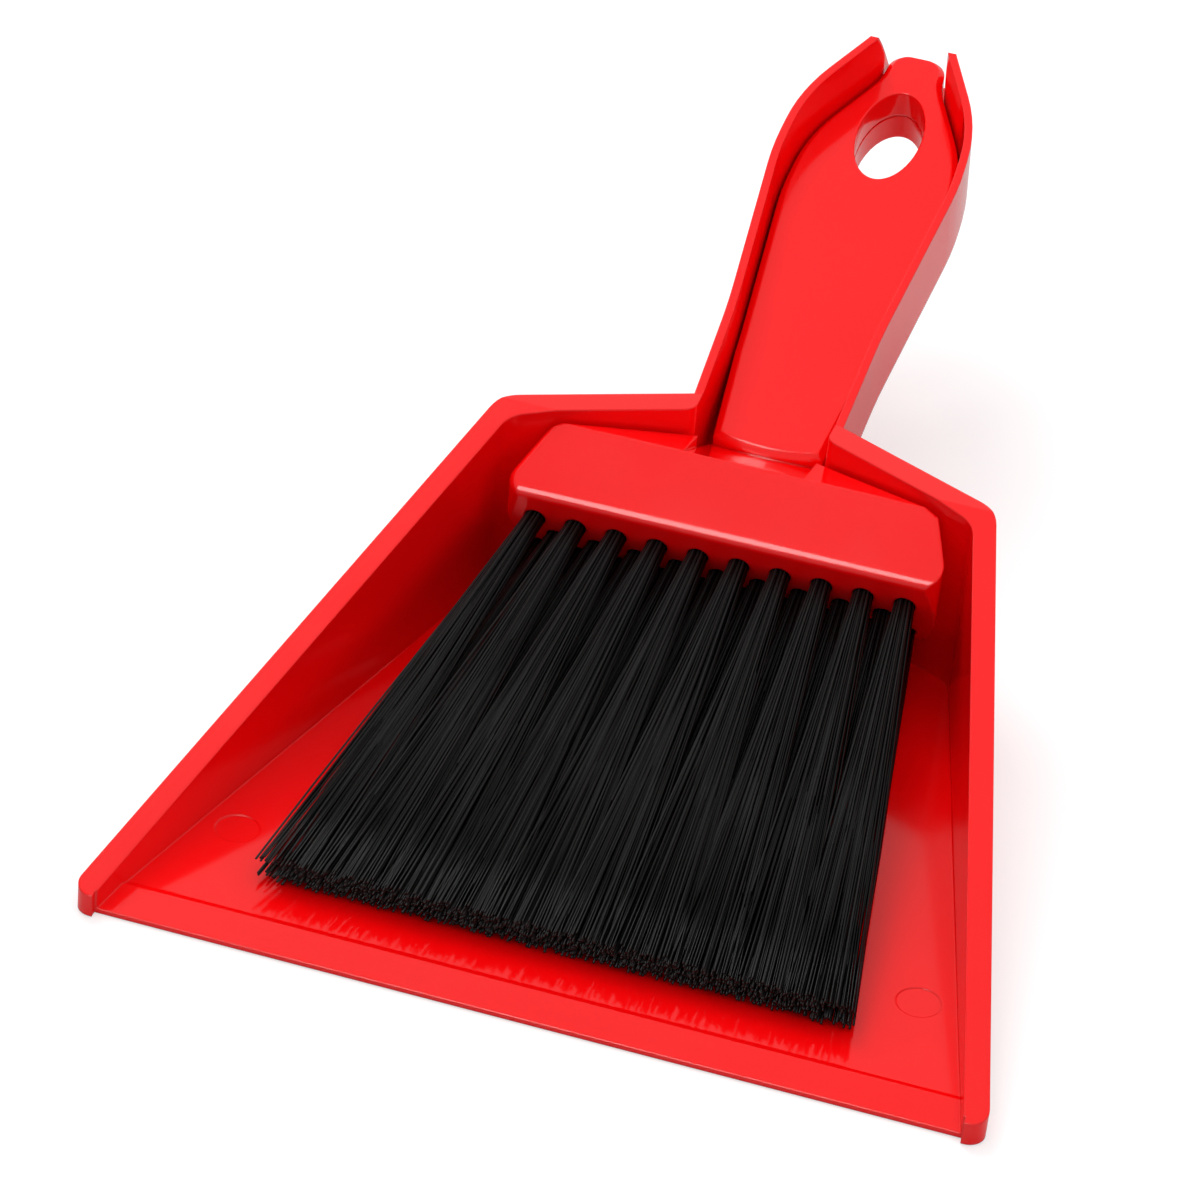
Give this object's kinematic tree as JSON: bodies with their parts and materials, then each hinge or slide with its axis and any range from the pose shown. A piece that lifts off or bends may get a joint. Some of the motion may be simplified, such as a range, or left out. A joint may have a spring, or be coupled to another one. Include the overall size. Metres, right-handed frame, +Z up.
{
  "type": "hand broom in a dustpan",
  "caption": "Hand broom with dark bristles fanned out in rows, lying in its matching dustpan with the broom's handle seated in the pan's open channel handle",
  "frame": {"origin": "on the surface the dustpan rests on, at the middle of the whole set's box", "axes": "+Z up, +Y from the dustpan's lip to the handles' ends, +X to the right seen from the lip"},
  "size_m": [0.1776, 0.2976, 0.0752],
  "materials": {
    "pan_plastic": "satin",
    "broom_plastic": "satin",
    "bristles": "satin",
    "anchor_steel": "satin"
  },
  "bodies": {
    "pan": {"dustpan": "pan_plastic"},
    "broom": {"broom_block_and_handle": "broom_plastic", "tuft_anchors": "anchor_steel", "tuft_top_01": "bristles", "tuft_top_02": "bristles", "tuft_top_03": "bristles", "tuft_top_04": "bristles", "tuft_top_05": "bristles", "tuft_top_06": "bristles", "tuft_top_07": "bristles", "tuft_top_08": "bristles", "tuft_top_09": "bristles", "tuft_top_10": "bristles", "tuft_middle_01": "bristles", "tuft_middle_02": "bristles", "tuft_middle_03": "bristles", "tuft_middle_04": "bristles", "tuft_middle_05": "bristles", "tuft_middle_06": "bristles", "tuft_middle_07": "bristles", "tuft_middle_08": "bristles", "tuft_middle_09": "bristles", "tuft_bottom_01": "bristles", "tuft_bottom_02": "bristles", "tuft_bottom_03": "bristles", "tuft_bottom_04": "bristles", "tuft_bottom_05": "bristles", "tuft_bottom_06": "bristles", "tuft_bottom_07": "bristles", "tuft_bottom_08": "bristles", "tuft_bottom_09": "bristles", "tuft_bottom_10": "bristles"}
  },
  "joints": [
    {"name": "broom_lift_off", "type": "slide", "parent": "pan", "child": "broom", "axis": [0, -0.2785, 0.9604], "range_m": [0, 0.1]}
  ]
}
